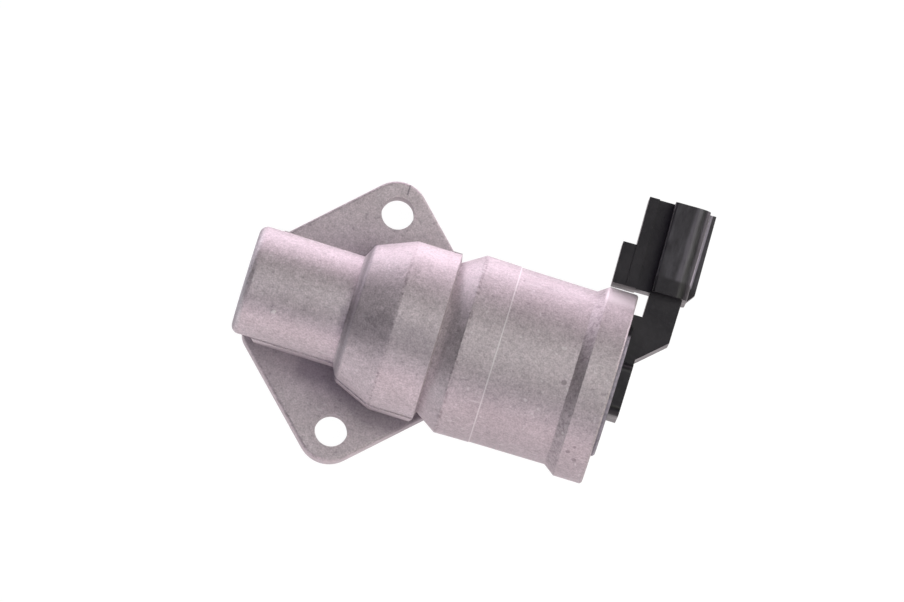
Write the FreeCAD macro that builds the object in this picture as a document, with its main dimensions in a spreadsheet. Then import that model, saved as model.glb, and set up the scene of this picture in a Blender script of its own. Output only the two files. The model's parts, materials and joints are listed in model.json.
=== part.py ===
import FreeCAD, Part
import math
import os
import Sketcher

# Idle air control valve: a solenoid that lifts a poppet off its seat inside a die-cast housing.
# Frame: the bolt holes' midpoint on the mounting face is the origin, +X runs along the valve's
# axis towards the solenoid, +Y is the way that the plug socket opens, +Z leaves the mounting face.

# Driving dimensions in millimetres and degrees
SIZES = {
    # Mounting flange
    "axis_height": 20.6,
    "bolt_spacing": 46.3,
    "bolt_hole_diameter": 6.7,
    "ear_radius": 6.45,
    "flange_thickness": 7.0,
    "flange_half_length": 23.0,
    "flange_shift": 0.3,
    "flange_edge_angle": 44.0,
    "flange_corner_radius": 4.0,
    "flange_edge_round": 0.6,
    "pedestal_step": 0.3,
    "pedestal_draft": 3.0,
    "pedestal_inset": 3.0,
    "pedestal_corner": 1.8,
    # Ports in the mounting face
    "port_diameter": 10.0,
    "inlet_offset": 12.0,
    "outlet_offset": 8.0,
    "port_chamfer": 0.6,
    # Outside of the casting, from the nose to the rim
    "nose_reach": 25.4,
    "nose_radius": 11.2,
    "nose_round": 3.2,
    "step_offset": 3.65,
    "step_length": 1.25,
    "shoulder_radius": 13.9,
    "shoulder_length": 8.1,
    "shoulder_round": 1.4,
    "chamber_outer_radius": 17.3,
    "chamber_outer_length": 9.3,
    "neck_length": 0.35,
    "neck_radius": 15.7,
    "can_cone_length": 4.6,
    "can_crest_radius": 18.65,
    "can_front_length": 7.35,
    "can_front_radius": 18.5,
    "can_line_depth": 0.12,
    "can_rear_radius": 18.25,
    "rim_cone_length": 2.3,
    "rim_radius": 19.9,
    "rim_length": 5.9,
    "rim_bevel": 0.35,
    # Inside of the casting
    "nose_bore_radius": 8.0,
    "plug_bore_radius": 7.0,
    "plug_bore_length": 5.6,
    "seat_pocket_radius": 9.0,
    "chamber_radius": 11.5,
    "coil_bore_radius": 15.9,
    "coil_shoulder": 19.0,
    "rim_bore_radius": 17.6,
    "lip_radius": 14.4,
    "lip_thickness": 0.55,
    # Clearances
    "fit_gap": 0.1,
    "running_gap": 0.05,
    # Valve seat and poppet
    "seat_right_face": -0.5,
    "seat_thickness": 3.5,
    "seat_radius": 6.0,
    "seat_lip_width": 0.9,
    "seat_lip_height": 0.6,
    "poppet_radius": 8.2,
    "poppet_pad_thickness": 1.1,
    "poppet_plate_thickness": 1.4,
    "poppet_hub_radius": 3.6,
    "poppet_hub_length": 2.2,
    "shaft_radius": 2.0,
    "shaft_groove_depth": 0.4,
    "clip_thickness": 0.7,
    "clip_radius": 3.4,
    "clip_mouth_angle": 70.0,
    "valve_stroke": 3.0,
    # Nose plug and balance spring
    "plug_recess": 0.6,
    "plug_thickness": 3.6,
    "plug_spigot_radius": 3.1,
    "plug_spigot_length": 3.0,
    "plug_socket_radius": 2.6,
    "plug_socket_depth": 1.6,
    "shaft_end_room": 2.4,
    "balance_seat_front": -10.8,
    "balance_seat_thickness": 1.0,
    "balance_seat_radius": 5.6,
    "balance_spring_radius": 4.4,
    "spring_wire_radius": 0.35,
    "balance_spring_turns": 4.5,
    # Solenoid stack
    "front_plate_thickness": 3.0,
    "bush_radius": 4.2,
    "bush_flange_radius": 6.0,
    "bush_flange_thickness": 1.2,
    "coil_length": 20.5,
    "rear_plate_thickness": 2.4,
    "yoke_thickness": 1.4,
    "guide_wall": 0.5,
    "armature_radius": 6.2,
    "armature_length": 9.4,
    "armature_front_gap": 0.6,
    "stop_shim_thickness": 0.3,
    "armature_air_gap": 0.2,
    "core_head_radius": 9.0,
    "core_head_thickness": 1.0,
    "bobbin_wall": 1.0,
    "bobbin_flange_thickness": 1.2,
    "bobbin_flange_radius": 14.2,
    "winding_radius": 13.2,
    "winding_pitch": 4.5,
    "winding_bulge": 0.35,
    "return_pocket_radius": 3.6,
    "return_pocket_depth": 3.2,
    "return_spring_radius": 2.9,
    "return_spring_turns": 4.5,
    "wave_washer_inner_radius": 12.4,
    "wave_washer_thickness": 0.9,
    # End cap
    "cap_spigot_length": 2.8,
    "cap_flange_thickness": 2.3,
    "cap_groove_start": 0.4,
    "cap_groove_width": 1.9,
    "seal_wire_radius": 0.85,
    "cap_face_radius": 13.9,
    "cap_face_proud": 0.85,
    "cap_face_bevel": 0.4,
    "boss_height": 2.2,
    "boss_half_width": 5.5,
    "boss_half_depth": 8.5,
    "boss_round": 2.0,
    "arm_outer_reach": 5.6,
    "arm_inner_reach": 1.15,
    "arm_slope_start": 6.8,
    "arm_slope_rise": 5.25,
    "arm_foot_top": 15.55,
    "arm_half_depth": 4.6,
    "arm_round": 0.6,
    # Plug socket
    "socket_lean": 1.6,
    "socket_overhang": 0.9,
    "socket_bottom": 21.05,
    "socket_height": 18.7,
    "socket_shell_depth": 7.4,
    "socket_half_width": 8.2,
    "socket_corner_radius": 2.6,
    "socket_wall": 1.4,
    "socket_floor": 4.4,
    "web_length": 3.3,
    "web_half_width": 3.2,
    "plate_thickness": 2.0,
    "plate_half_width": 4.7,
    "latch_length": 2.8,
    "latch_half_width": 4.4,
    "latch_height": 8.6,
    "rail_depth": 1.35,
    "rail_half_width": 1.5,
    "rail_start": 0.3,
    "rail_slope_rise": 1.8,
    # Terminals
    "blade_thickness": 0.8,
    "blade_width": 2.2,
    "blade_spacing": 5.0,
    "blade_height": 10.0,
    "blade_inset": 4.1,
    "blade_turn": 10.5,
}

doc = FreeCAD.newDocument("IdleAirControlValve")
sheet = doc.addObject("Spreadsheet::Sheet", "Sizes")
for row, (alias, amount) in enumerate(SIZES.items(), start=1):
    sheet.set(f"A{row}", alias)
    sheet.set(f"B{row}", str(amount))
    sheet.setAlias(f"B{row}", alias)
doc.recompute()


class Length:
    """A size that carries its value and its spreadsheet formula through each sum."""

    def __init__(self, value, formula):
        self.value = value
        self.formula = formula

    def joined(self, sign, other, value):
        return Length(value, f"({self.formula} {sign} {other.formula})")

    def __add__(self, other):
        other = length(other)
        return self.joined("+", other, self.value + other.value)

    def __sub__(self, other):
        other = length(other)
        return self.joined("-", other, self.value - other.value)

    def __mul__(self, other):
        other = length(other)
        return self.joined("*", other, self.value * other.value)

    def __truediv__(self, other):
        other = length(other)
        return self.joined("/", other, self.value / other.value)

    def __neg__(self):
        return length(0) - self


def length(number):
    """A plain number as a Length; a Length stays as it is."""
    return number if isinstance(number, Length) else Length(float(number), f"({number})")


def size(alias):
    return Length(float(sheet.get(alias)), f"Sizes.{alias}")


def tangent(angle):
    return Length(math.tan(math.radians(angle.value)), f"tan({angle.formula} * 1deg)")


def cosine(angle):
    return Length(math.cos(math.radians(angle.value)), f"cos({angle.formula} * 1deg)")


def sine(angle):
    return Length(math.sin(math.radians(angle.value)), f"sin({angle.formula} * 1deg)")


# Sketches, features and edges


def new_body(label, lift=None):
    """A body of its own, raised to the valve's axis where lift is given."""
    body = doc.addObject("PartDesign::Body", label)
    body.Label = label
    if lift is not None:
        body.setExpression("Placement.Base.z", lift.formula)
    return body


def new_sketch(body, name, plane, offset=None):
    """An empty sketch on one of the body's own origin planes, moved along its normal by offset."""
    sketch = body.newObject("Sketcher::SketchObject", name)
    support = next(item for item in body.Origin.OriginFeatures if item.Role == plane)
    sketch.AttachmentSupport = [(support, "")]
    sketch.MapMode = "FlatFace"
    if offset is not None:
        sketch.setExpression("AttachmentOffset.Base.z", offset.formula)
    return sketch


def hold(sketch, kind, geometry, point, amount, label):
    """A named dimension from the sketch's origin, or of a circle, bound to its formula."""
    if kind == "Radius":
        index = sketch.addConstraint(Sketcher.Constraint(kind, geometry, amount.value))
    else:
        index = sketch.addConstraint(Sketcher.Constraint(kind, -1, 1, geometry, point, amount.value))
    sketch.renameConstraint(index, label)
    sketch.setExpression(f"Constraints.{label}", amount.formula)


def add_outline(sketch, corners):
    """A closed outline of straight sides, each corner held by two dimensions."""
    corners = [(length(across), length(up)) for across, up in corners]
    points = [FreeCAD.Vector(across.value, up.value, 0) for across, up in corners]
    first = sketch.GeometryCount
    count = len(points)
    for index in range(count):
        sketch.addGeometry(Part.LineSegment(points[index], points[(index + 1) % count]), False)
    for index in range(count):
        following = first + (index + 1) % count
        sketch.addConstraint(Sketcher.Constraint("Coincident", first + index, 2, following, 1))
    for index, (across, up) in enumerate(corners, start=first):
        hold(sketch, "DistanceX", index, 1, across, f"across{index}")
        hold(sketch, "DistanceY", index, 1, up, f"up{index}")


def add_circle(sketch, across, up, radius):
    """A circle held by its centre and its radius."""
    across, up, radius = length(across), length(up), length(radius)
    centre = FreeCAD.Vector(across.value, up.value, 0)
    index = sketch.addGeometry(Part.Circle(centre, FreeCAD.Vector(0, 0, 1), radius.value), False)
    hold(sketch, "DistanceX", index, 3, across, f"across{index}")
    hold(sketch, "DistanceY", index, 3, up, f"up{index}")
    hold(sketch, "Radius", index, 3, radius, f"radius{index}")


def rectangle(left, bottom, right, top):
    return [(left, bottom), (right, bottom), (right, top), (left, top)]


def outline_sketch(body, name, plane, outlines, offset=None):
    sketch = new_sketch(body, name, plane, offset)
    for corners in outlines:
        add_outline(sketch, corners)
    return sketch


def circle_sketch(body, name, plane, rounds, offset=None):
    sketch = new_sketch(body, name, plane, offset)
    for across, up, radius in rounds:
        add_circle(sketch, across, up, radius)
    return sketch


def volume_after(body):
    doc.recompute()
    return body.Shape.Volume if not body.Shape.isNull() else 0.0


def pad(body, name, sketch, amount, taper=None, symmetric=False):
    """Material added along the sketch's normal."""
    feature = body.newObject("PartDesign::Pad", name)
    feature.Profile = sketch
    feature.setExpression("Length", length(amount).formula)
    if taper is not None:
        feature.setExpression("TaperAngle", taper.formula)
    if symmetric:
        feature.SideType = "Symmetric"
    return feature


def pocket(body, name, sketch, amount, along_normal):
    """Material cut away along the sketch's normal or against it."""
    before = volume_after(body)
    feature = body.newObject("PartDesign::Pocket", name)
    feature.Profile = sketch
    feature.setExpression("Length", length(amount).formula)
    feature.Reversed = along_normal
    if volume_after(body) > before - 1e-6:
        raise RuntimeError(f"{body.Label}: {name} cuts nothing")
    return feature


def turn(body, name, corners, plane="XY_Plane", offset=None):
    """A solid of revolution about the X axis from a half section."""
    sketch = outline_sketch(body, f"{name}Section", plane, [corners], offset)
    feature = body.newObject("PartDesign::Revolution", name)
    feature.Profile = sketch
    feature.ReferenceAxis = (sketch, ["H_Axis"])
    feature.Angle = 360
    return feature


def turn_away(body, name, corners, offset=None):
    """A bore of revolution about the X axis from a half section."""
    before = volume_after(body)
    sketch = outline_sketch(body, f"{name}Section", "XY_Plane", [corners], offset)
    feature = body.newObject("PartDesign::Groove", name)
    feature.Profile = sketch
    feature.ReferenceAxis = (sketch, ["H_Axis"])
    feature.Angle = 360
    if volume_after(body) > before - 1e-6:
        raise RuntimeError(f"{body.Label}: {name} cuts nothing")
    return feature


def dress(body, kind, name, amount, chosen):
    """A fillet or chamfer on the edges that the test chosen picks from the shape so far."""
    doc.recompute()
    base = body.Tip
    names = [f"Edge{i}" for i, edge in enumerate(base.Shape.Edges, start=1) if chosen(edge)]
    if not names:
        raise RuntimeError(f"{body.Label}: {name} finds no edge")
    feature = body.newObject(f"PartDesign::{kind}", name)
    feature.Base = (base, names)
    feature.setExpression("Radius" if kind == "Fillet" else "Size", length(amount).formula)
    return feature


TOUCH = 0.01


def ring_at(x, radius):
    """A test for the round edge about the valve's axis at this place and radius."""
    def chosen(edge):
        curve = edge.Curve
        if not isinstance(curve, Part.Circle):
            return False
        return abs(curve.Center.x - x.value) < TOUCH and abs(curve.Radius - radius.value) < TOUCH
    return chosen


def upright_at(places, y):
    """A test for the vertical edges that stand at one of these x places and plus or minus this y."""
    def chosen(edge):
        box = edge.BoundBox
        if box.XLength > TOUCH or box.YLength > TOUCH:
            return False
        middle = box.Center
        level = abs(abs(middle.y) - y.value) < TOUCH
        return level and any(abs(middle.x - x.value) < TOUCH for x in places)
    return chosen


def socket_edge(across, deep):
    """A test for the edges that run up the leaning plug socket at this place and plus or minus deep."""
    lean = math.radians(socket_lean.value)
    upward = FreeCAD.Vector(-math.sin(lean), math.cos(lean), 0)
    sideways = FreeCAD.Vector(math.cos(lean), math.sin(lean), 0)
    corner = FreeCAD.Vector(socket_back.value, socket_bottom.value, 0)

    def chosen(edge):
        if not isinstance(edge.Curve, Part.Line) or abs(edge.Curve.Direction.dot(upward)) < 0.9999:
            return False
        middle = edge.CenterOfMass
        if abs(abs(middle.z) - deep.value) > TOUCH:
            return False
        return abs((middle - corner).dot(sideways) - across.value) < TOUCH
    return chosen


# Places along the valve's axis that several pieces share
axis_height = size("axis_height")
half_spacing = size("bolt_spacing") / 2
nose_end = -size("nose_reach")
step_start = -size("step_offset")
step_end = step_start + size("step_length")
shoulder_end = step_end + size("shoulder_length")
chamber_outer_end = shoulder_end + size("chamber_outer_length")
neck_place = chamber_outer_end + size("neck_length")
can_crest = neck_place + size("can_cone_length")
can_line = can_crest + size("can_front_length")

seat_right = size("seat_right_face")
seat_left = seat_right - size("seat_thickness")
seat_lip_face = seat_right + size("seat_lip_height")
coil_shoulder = size("coil_shoulder")
coil_start = coil_shoulder + size("front_plate_thickness")
coil_end = coil_start + size("coil_length")
rear_plate_end = coil_end + size("rear_plate_thickness")
cap_start = rear_plate_end + size("wave_washer_thickness")
cap_shoulder = cap_start + size("cap_spigot_length")
lip_start = cap_shoulder + size("cap_flange_thickness")
rim_end = lip_start + size("lip_thickness")
rim_start = rim_end - size("rim_length")
can_end = rim_start - size("rim_cone_length")
cap_face = rim_end + size("cap_face_proud")
boss_end = cap_face + size("boss_height")
arm_outer = boss_end + size("arm_outer_reach")
socket_back = arm_outer + size("socket_overhang")
socket_bottom = size("socket_bottom")
socket_lean = size("socket_lean")
blade_back = socket_back - size("blade_inset")

armature_start = coil_start + size("armature_front_gap")
armature_end = armature_start + size("armature_length")
shim_end = armature_end + size("stop_shim_thickness")
core_start = shim_end + size("valve_stroke") + size("armature_air_gap")
guide_inner = size("armature_radius") + size("running_gap")
guide_outer = guide_inner + size("guide_wall")
bobbin_inner = guide_outer + size("fit_gap")
bobbin_outer = bobbin_inner + size("bobbin_wall")
stack_radius = size("coil_bore_radius") - size("fit_gap")
yoke_inner = stack_radius - size("yoke_thickness")
shaft_radius = size("shaft_radius")

poppet_face = seat_lip_face + size("running_gap")
poppet_plate_start = poppet_face + size("poppet_pad_thickness")
poppet_plate_end = poppet_plate_start + size("poppet_plate_thickness")
poppet_hub_end = poppet_plate_end + size("poppet_hub_length")
balance_seat_start = size("balance_seat_front")
balance_seat_end = balance_seat_start + size("balance_seat_thickness")
plug_start = nose_end + size("plug_recess")
plug_end = plug_start + size("plug_thickness")
shaft_start = plug_start + size("shaft_end_room")
return_pocket_start = armature_end - size("return_pocket_depth")
return_pocket_end = core_start + size("return_pocket_depth")


# Die-cast housing: flange, pedestal, nose, stepped chamber, can and rolled rim in one piece


def make_housing():
    body = new_body("valve_housing")
    section = [
        (nose_end, 0),
        (nose_end, size("nose_radius")),
        (step_start, size("nose_radius")),
        (step_end, size("shoulder_radius")),
        (shoulder_end, size("chamber_outer_radius")),
        (chamber_outer_end, size("chamber_outer_radius")),
        (neck_place, size("neck_radius")),
        (can_crest, size("can_crest_radius")),
        (can_line, size("can_front_radius")),
        (can_line, size("can_front_radius") - size("can_line_depth")),
        (can_end, size("can_rear_radius")),
        (rim_start, size("rim_radius")),
        (rim_end - size("rim_bevel"), size("rim_radius")),
        (rim_end, size("rim_radius") - size("rim_bevel")),
        (rim_end, 0),
    ]
    turn(body, "Outside", section, offset=axis_height)
    dress(body, "Fillet", "NoseRound", size("nose_round"), ring_at(nose_end, size("nose_radius")))
    dress(body, "Fillet", "ShoulderRound", size("shoulder_round"),
          ring_at(step_end, size("shoulder_radius")))
    add_pedestal(body)
    add_flange(body)
    cut_axis_bores(body)
    cut_ports(body)
    return body


def add_pedestal(body):
    """The walls below the parting line, which run down from the nose and chamber to the flange."""
    step = size("pedestal_step")
    corner = size("pedestal_corner")
    front = nose_end + size("pedestal_inset")
    outline = [
        (front, size("nose_radius") + step - corner),
        (front + corner, size("nose_radius") + step),
        (step_start, size("nose_radius") + step),
        (step_end, size("shoulder_radius") + step),
        (shoulder_end, size("chamber_outer_radius") + step),
        (chamber_outer_end, size("chamber_outer_radius") + step),
        (neck_place, size("neck_radius") + step),
    ]
    mirrored = [(across, -up) for across, up in reversed(outline)]
    sketch = outline_sketch(body, "PedestalPlan", "XY_Plane", [outline + mirrored], axis_height)
    feature = pad(body, "Pedestal", sketch, axis_height - size("flange_thickness") / 2,
                  taper=-size("pedestal_draft"))
    feature.Reversed = True


def add_flange(body):
    """The lozenge plate with its two bolt ears and cropped side corners."""
    angle = size("flange_edge_angle")
    apex = half_spacing + size("ear_radius") / cosine(angle)
    side = size("flange_half_length")
    corner = apex - side * tangent(angle)
    shift = -size("flange_shift")
    left = shift - side
    right = shift + side
    outline = [(shift, apex), (left, corner), (left, -corner), (shift, -apex),
               (right, -corner), (right, corner)]
    plate = new_body("flange_plate")
    sketch = outline_sketch(plate, "FlangePlan", "XY_Plane", [outline])
    pad(plate, "Flange", sketch, size("flange_thickness"))
    dress(plate, "Fillet", "EarRound", size("ear_radius"), upright_at([shift], apex))
    dress(plate, "Fillet", "CornerRound", size("flange_corner_radius"), upright_at([left, right], corner))

    def top_edge(edge):
        box = edge.BoundBox
        return box.ZLength < TOUCH and abs(box.ZMax - size("flange_thickness").value) < TOUCH
    dress(plate, "Fillet", "TopRound", size("flange_edge_round"), top_edge)
    union = body.newObject("PartDesign::Boolean", "FlangeJoin")
    union.setObjects([plate])
    union.Type = "Fuse"


def cut_axis_bores(body):
    """The bores along the axis: plug bore, nose chamber, seat pocket, chamber, coil and rim."""
    section = [
        (nose_end, 0),
        (nose_end, size("plug_bore_radius")),
        (nose_end + size("plug_bore_length"), size("plug_bore_radius")),
        (nose_end + size("plug_bore_length"), size("nose_bore_radius")),
        (seat_left, size("nose_bore_radius")),
        (seat_left, size("seat_pocket_radius")),
        (seat_right, size("seat_pocket_radius")),
        (seat_right, size("chamber_radius")),
        (coil_shoulder, size("chamber_radius")),
        (coil_shoulder, size("coil_bore_radius")),
        (cap_shoulder, size("coil_bore_radius")),
        (cap_shoulder, size("rim_bore_radius")),
        (lip_start, size("rim_bore_radius")),
        (lip_start, size("lip_radius")),
        (rim_end, size("lip_radius")),
        (rim_end, 0),
    ]
    turn_away(body, "AxisBores", section, offset=axis_height)


def cut_ports(body):
    """The two air ports and the two bolt holes, all from the mounting face."""
    radius = size("port_diameter") / 2
    places = [-size("inlet_offset"), size("outlet_offset")]
    ports = circle_sketch(body, "PortPlan", "XY_Plane", [(place, 0, radius) for place in places])
    pocket(body, "Ports", ports, axis_height, along_normal=True)
    hole = size("bolt_hole_diameter") / 2
    rounds = [(0, half_spacing, hole), (0, -half_spacing, hole)]
    holes = circle_sketch(body, "BoltPlan", "XY_Plane", rounds)
    pocket(body, "BoltHoles", holes, size("flange_thickness") * 2, along_normal=True)

    def port_mouth(edge):
        curve = edge.Curve
        if not isinstance(curve, Part.Circle) or abs(curve.Center.z) > TOUCH:
            return False
        return abs(curve.Radius - radius.value) < TOUCH
    dress(body, "Chamfer", "PortChamfer", size("port_chamfer"), port_mouth)


# Valve seat, poppet and shaft


def make_turned(label, corners):
    """A turned piece on the valve's axis."""
    body = new_body(label, axis_height)
    turn(body, "Turned", corners)
    return body


def make_seat():
    """The pressed-in seat ring with a raised landing for the poppet."""
    bore = size("seat_radius")
    lip = bore + size("seat_lip_width")
    rim = size("seat_pocket_radius")
    make_turned("valve_seat", [
        (seat_left, bore), (seat_left, rim), (seat_right, rim), (seat_right, lip),
        (seat_lip_face, lip), (seat_lip_face, bore),
    ])


def make_poppet():
    """The plate and hub that carry the rubber facing against the seat."""
    make_turned("poppet_plate", [
        (poppet_plate_start, shaft_radius), (poppet_plate_start, size("poppet_radius")),
        (poppet_plate_end, size("poppet_radius")), (poppet_plate_end, size("poppet_hub_radius")),
        (poppet_hub_end, size("poppet_hub_radius")), (poppet_hub_end, shaft_radius),
    ])
    make_turned("poppet_facing", [
        (poppet_face, shaft_radius), (poppet_face, size("poppet_radius")),
        (poppet_plate_start, size("poppet_radius")), (poppet_plate_start, shaft_radius),
    ])


def make_shaft():
    """The stem, with grooves for its two clips and a chamfered front end."""
    neck = shaft_radius - size("shaft_groove_depth")
    bevel = size("shaft_groove_depth")
    clip = size("clip_thickness")
    rear = armature_end - size("return_pocket_depth")
    make_turned("valve_shaft", [
        (shaft_start, 0), (shaft_start, shaft_radius - bevel), (shaft_start + bevel, shaft_radius),
        (balance_seat_start - clip, shaft_radius), (balance_seat_start - clip, neck),
        (balance_seat_start, neck), (balance_seat_start, shaft_radius),
        (poppet_hub_end, shaft_radius), (poppet_hub_end, neck),
        (poppet_hub_end + clip, neck), (poppet_hub_end + clip, shaft_radius),
        (rear, shaft_radius), (rear, 0),
    ])


def make_clip(label, start):
    """An open retaining clip in one of the shaft's grooves, its mouth upwards."""
    neck = shaft_radius - size("shaft_groove_depth")
    clip = size("clip_thickness")
    body = make_turned(label, [
        (start, neck), (start, size("clip_radius")),
        (start + clip, size("clip_radius")), (start + clip, neck),
    ])
    reach = size("clip_radius") * 2
    spread = reach * tangent(size("clip_mouth_angle") / 2)
    mouth = outline_sketch(body, "Mouth", "YZ_Plane", [[(0, 0), (spread, reach), (-spread, reach)]], start)
    pocket(body, "MouthCut", mouth, clip, along_normal=True)


def make_balance_seat():
    """The dished washer that the balance spring pushes against."""
    make_turned("balance_spring_seat", [
        (balance_seat_start, shaft_radius), (balance_seat_start, size("balance_seat_radius")),
        (balance_seat_end, size("balance_seat_radius")), (balance_seat_end, shaft_radius),
    ])


def make_plug():
    """The nose plug: a set plug with a guide bore for the shaft and a hexagon socket."""
    guide = shaft_radius + size("running_gap")
    radius = size("plug_bore_radius")
    bevel = size("pedestal_step")
    body = make_turned("nose_plug", [
        (plug_start, 0), (plug_start, radius - bevel), (plug_start + bevel, radius),
        (plug_end, radius), (plug_end, size("plug_spigot_radius")),
        (plug_end + size("plug_spigot_length"), size("plug_spigot_radius")),
        (plug_end + size("plug_spigot_length"), guide),
        (shaft_start - size("running_gap"), guide), (shaft_start - size("running_gap"), 0),
    ])
    flat = size("plug_socket_radius")
    corners = []
    for index in range(6):
        angle = math.radians(60 * index)
        corners.append((flat * math.cos(angle), flat * math.sin(angle)))
    socket = outline_sketch(body, "KeyPlan", "YZ_Plane", [corners], plug_start)
    pocket(body, "KeySocket", socket, size("plug_socket_depth"), along_normal=True)


WIRE_SIDES = 6


def wire_outline(across, up, radius):
    """A round wire's section as an even outline of a few sides."""
    corners = []
    for index in range(WIRE_SIDES):
        angle = math.tau * (index + 0.5) / WIRE_SIDES
        corners.append((across + radius * math.cos(angle), up + radius * math.sin(angle)))
    return corners


def make_spring(label, start, end, radius, turns):
    """A wire coil between two seats, just clear of both."""
    wire = size("spring_wire_radius")
    slack = size("running_gap") / 2
    first = start + wire + slack
    body = new_body(label, axis_height)
    sketch = outline_sketch(body, "Wire", "XY_Plane", [wire_outline(first, radius, wire)])
    coil = body.newObject("PartDesign::AdditiveHelix", "Coil")
    coil.Profile = sketch
    coil.ReferenceAxis = (sketch, ["H_Axis"])
    coil.Mode = 2
    coil.setExpression("Height", (end - wire - slack - first).formula)
    coil.setExpression("Turns", turns.formula)
    return body


# Solenoid


def make_front_plate():
    make_turned("front_flux_plate", [
        (coil_shoulder, size("bush_radius")), (coil_shoulder, stack_radius),
        (coil_start, stack_radius), (coil_start, size("bush_radius")),
    ])
    flange_start = coil_shoulder - size("bush_flange_thickness")
    guide = shaft_radius + size("running_gap")
    make_turned("shaft_bush", [
        (flange_start, guide), (flange_start, size("bush_flange_radius")),
        (coil_shoulder, size("bush_flange_radius")), (coil_shoulder, size("bush_radius")),
        (coil_start, size("bush_radius")), (coil_start, guide),
    ])


def make_guide_tube():
    make_turned("armature_guide_tube", [
        (coil_start, guide_inner), (coil_start, guide_outer), (coil_end, guide_outer),
        (coil_end, guide_inner),
    ])


def make_armature():
    radius = size("armature_radius")
    bevel = size("stop_shim_thickness")
    make_turned("armature", [
        (armature_start, shaft_radius), (armature_start, radius - bevel),
        (armature_start + bevel, radius), (armature_end, radius),
        (armature_end, size("return_pocket_radius")),
        (return_pocket_start, size("return_pocket_radius")), (return_pocket_start, shaft_radius),
    ])
    make_turned("stop_shim", [
        (armature_end, size("return_pocket_radius")), (armature_end, radius - bevel),
        (shim_end, radius - bevel), (shim_end, size("return_pocket_radius")),
    ])


def make_core():
    """The fixed core, blind for the return spring, with a head that the rear plate backs."""
    radius = guide_inner - size("running_gap")
    head_end = rear_plate_end + size("core_head_thickness")
    make_turned("fixed_core", [
        (core_start, size("return_pocket_radius")), (core_start, radius), (rear_plate_end, radius),
        (rear_plate_end, size("core_head_radius")), (head_end, size("core_head_radius")),
        (head_end, 0), (return_pocket_end, 0), (return_pocket_end, size("return_pocket_radius")),
    ])


def make_coil():
    """The bobbin and its winding, whose surface shows the rows of wire as shallow ridges."""
    flange = size("bobbin_flange_thickness")
    rim = size("bobbin_flange_radius")
    make_turned("coil_bobbin", [
        (coil_start, bobbin_inner), (coil_start, rim), (coil_start + flange, rim),
        (coil_start + flange, bobbin_outer), (coil_end - flange, bobbin_outer),
        (coil_end - flange, rim), (coil_end, rim), (coil_end, bobbin_inner),
    ])
    start = coil_start + flange
    span = size("coil_length") - flange * 2
    rows = max(3, round(span.value / size("winding_pitch").value))
    top = size("winding_radius")
    ridges = []
    for row in range(rows):
        left = start + span * (row / rows)
        ridges.append((left, top - size("winding_bulge")))
        ridges.append((left + span * (0.5 / rows), top))
    corners = [(start, bobbin_outer)] + ridges
    corners += [(coil_end - flange, top - size("winding_bulge")), (coil_end - flange, bobbin_outer)]
    make_turned("coil_winding", corners)


def make_yoke():
    make_turned("yoke_sleeve", [
        (coil_start, yoke_inner), (coil_start, stack_radius), (coil_end, stack_radius),
        (coil_end, yoke_inner),
    ])


def blade_rectangles():
    """The two blades' sections in the plane across the valve's axis, as Y and Z spans."""
    low = size("blade_turn")
    half = size("blade_width") / 2
    spans = []
    for side in (-1, 1):
        centre = size("blade_spacing") * (side / 2)
        spans.append((low, centre - half, low + size("blade_thickness"), centre + half))
    return spans


def make_rear_plate():
    """The rear plate with slots that the coil's blades pass through."""
    core = guide_inner - size("running_gap")
    body = make_turned("rear_flux_plate", [
        (coil_end, core), (coil_end, stack_radius), (rear_plate_end, stack_radius),
        (rear_plate_end, core),
    ])
    gap = size("bobbin_wall") / 2
    slots = [rectangle(left - gap, low - gap, right + gap, high + gap)
             for left, low, right, high in blade_rectangles()]
    sketch = outline_sketch(body, "SlotPlan", "YZ_Plane", slots, coil_end)
    pocket(body, "BladeSlots", sketch, size("rear_plate_thickness"), along_normal=True)


def make_wave_washer():
    """The spring washer that holds the solenoid stack tight under the end cap."""
    make_turned("wave_washer", [
        (rear_plate_end, size("wave_washer_inner_radius")), (rear_plate_end, stack_radius),
        (cap_start, stack_radius), (cap_start, size("wave_washer_inner_radius")),
    ])


# End cap with its arm and plug socket


def make_end_cap():
    body = new_body("end_cap", axis_height)
    spigot = stack_radius
    groove_start = cap_start + size("cap_groove_start")
    groove_end = groove_start + size("cap_groove_width")
    groove_floor = spigot - size("seal_wire_radius") * 2 + size("fit_gap")
    flange = size("rim_bore_radius") - size("fit_gap")
    head_room = size("core_head_thickness")
    head = size("core_head_radius") + size("fit_gap")
    face = size("cap_face_radius")
    bevel = size("cap_face_bevel")
    turn(body, "Disc", [
        (rear_plate_end + head_room, 0), (rear_plate_end + head_room, head),
        (cap_start, head), (cap_start, spigot),
        (groove_start, spigot), (groove_start, groove_floor),
        (groove_end, groove_floor), (groove_end, spigot),
        (cap_shoulder, spigot), (cap_shoulder, flange), (lip_start, flange),
        (lip_start, face), (cap_face - bevel, face), (cap_face, face - bevel), (cap_face, 0),
    ])
    add_boss(body)
    add_arm(body)
    add_socket(body)
    cut_socket(body)
    cut_blade_channels(body)


def add_boss(body):
    """The raised block across the middle of the disc."""
    half = size("boss_half_width")
    deep = size("boss_half_depth")
    outline = rectangle(-half, -deep, half, deep)
    sketch = outline_sketch(body, "BossPlan", "YZ_Plane", [outline], cap_face)
    pad(body, "Boss", sketch, size("boss_height"))

    def upright(edge):
        box = edge.BoundBox
        if box.YLength > TOUCH or box.ZLength > TOUCH or box.XLength < TOUCH:
            return False
        return abs(abs(box.Center.y) - half.value) < TOUCH and abs(abs(box.Center.z) - deep.value) < TOUCH
    dress(body, "Fillet", "BossRound", size("boss_round"), upright)


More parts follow.
